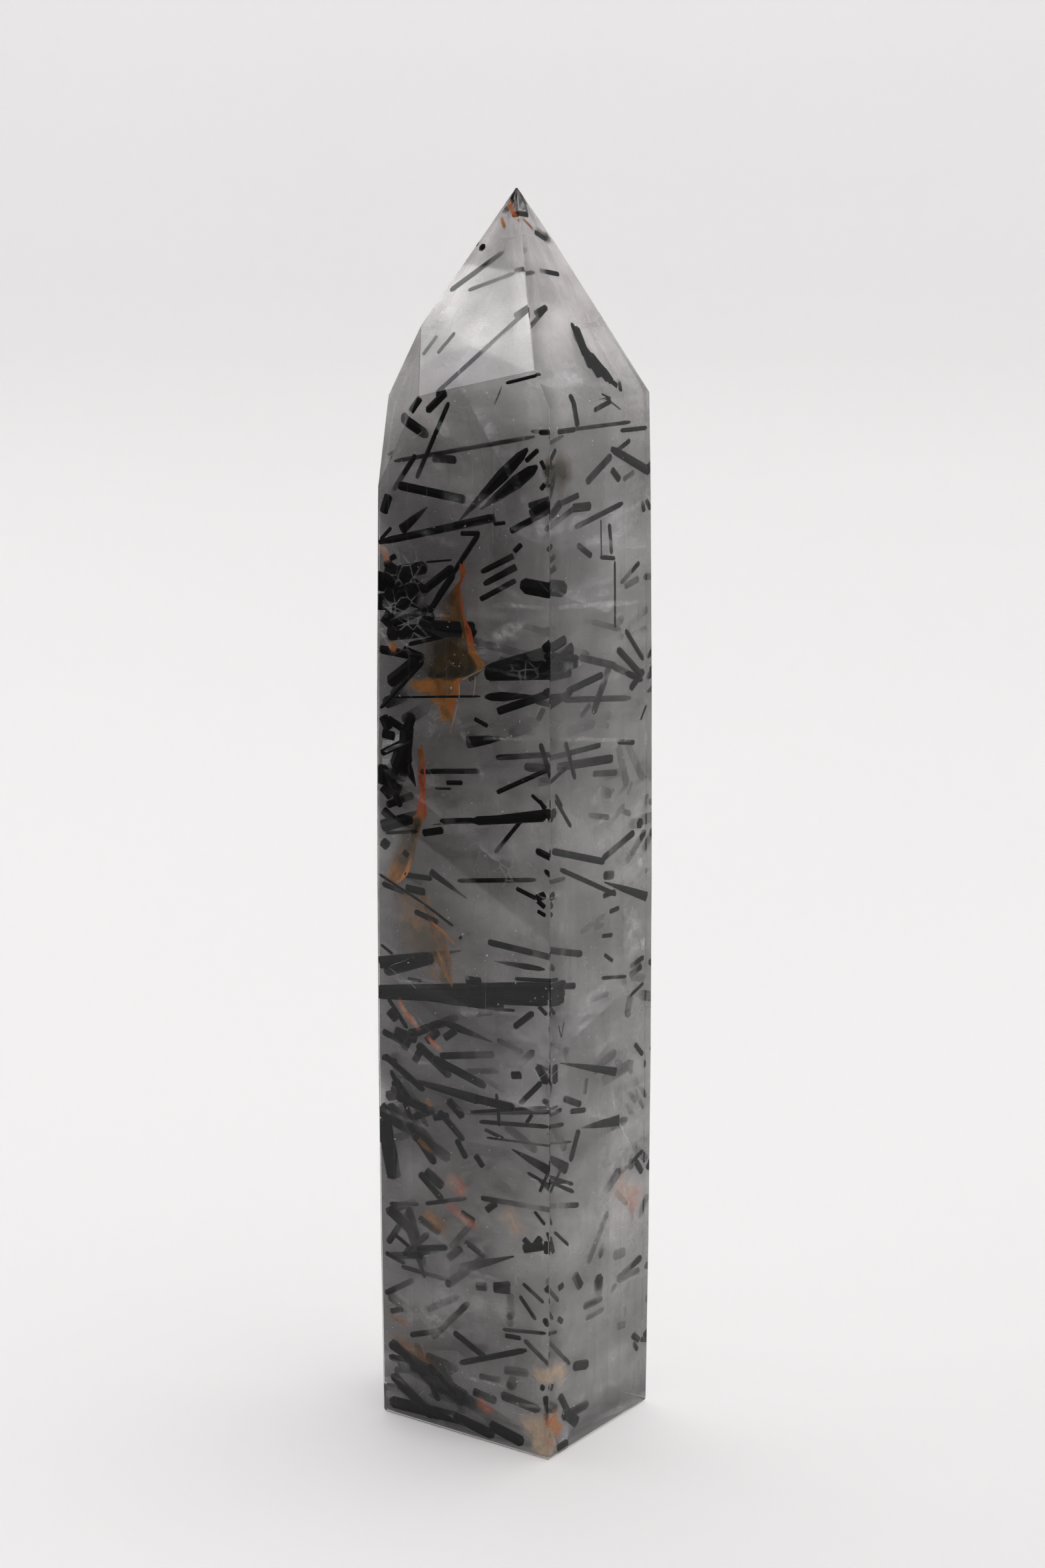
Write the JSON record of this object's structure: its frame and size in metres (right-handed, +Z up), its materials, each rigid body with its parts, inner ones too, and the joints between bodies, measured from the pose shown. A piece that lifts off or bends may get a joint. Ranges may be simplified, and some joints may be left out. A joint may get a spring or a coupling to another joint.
{
  "type": "tourmalinated quartz tower",
  "caption": "Polished, pointed quartz tower, slender and slightly swelling, with black tourmaline crystals sealed in it; stands on its flat base.",
  "frame": {"origin": "middle of the footprint's box, on the face that the tower stands on", "axes": "+Z up along the tower to its point; -Y out of the wide front face; +X out of the right face"},
  "size_m": [0.022, 0.0158, 0.11],
  "materials": {
    "quartz": "polished, clear to milky",
    "tourmaline": "black, finely striated, glassy"
  },
  "bodies": {
    "root": {"quartz_back": "quartz", "quartz_front": "quartz", "tourmaline_broken_splinters": "tourmaline", "tourmaline_cloudy_rod": "tourmaline", "tourmaline_edge_needle": "tourmaline", "tourmaline_edge_rod": "tourmaline", "tourmaline_fading_rod": "tourmaline", "tourmaline_falling_rod": "tourmaline", "tourmaline_feathered_group": "tourmaline", "tourmaline_first_crossing_rod": "tourmaline", "tourmaline_foot_bars": "tourmaline", "tourmaline_great_bundle": "tourmaline", "tourmaline_grey_needle": "tourmaline", "tourmaline_headed_needle": "tourmaline", "tourmaline_hexagonal_stub": "tourmaline", "tourmaline_high_needle": "tourmaline", "tourmaline_left_crossed_needles": "tourmaline", "tourmaline_left_dark_bundle": "tourmaline", "tourmaline_left_fibrous_mass": "tourmaline", "tourmaline_left_lower_mass": "tourmaline", "tourmaline_left_lower_rod": "tourmaline", "tourmaline_left_short_rod": "tourmaline", "tourmaline_left_slanting_rod": "tourmaline", "tourmaline_left_slender_needle": "tourmaline", "tourmaline_left_upper_bar": "tourmaline", "tourmaline_left_upper_rod": "tourmaline", "tourmaline_left_wedge": "tourmaline", "tourmaline_level_rod": "tourmaline", "tourmaline_long_leaning_rod": "tourmaline", "tourmaline_long_needle": "tourmaline", "tourmaline_low_club": "tourmaline", "tourmaline_low_crossing_needle": "tourmaline", "tourmaline_low_rod": "tourmaline", "tourmaline_low_wedge": "tourmaline", "tourmaline_lower_spindle": "tourmaline", "tourmaline_middle_rod": "tourmaline", "tourmaline_middle_spindle": "tourmaline", "tourmaline_right_dark_wedge": "tourmaline", "tourmaline_right_flared_rod": "tourmaline", "tourmaline_right_wedge": "tourmaline", "tourmaline_rod_below_bundle": "tourmaline", "tourmaline_second_crossing_rod": "tourmaline", "tourmaline_short_left_bar": "tourmaline", "tourmaline_slanting_needle": "tourmaline", "tourmaline_square_block": "tourmaline", "tourmaline_stain_needle": "tourmaline", "tourmaline_stained_rod": "tourmaline", "tourmaline_steep_needle": "tourmaline", "tourmaline_trio_bottom": "tourmaline", "tourmaline_trio_middle": "tourmaline", "tourmaline_trio_top": "tourmaline", "tourmaline_two_headed_rod": "tourmaline", "tourmaline_upper_spindle": "tourmaline"}
  },
  "joints": []
}
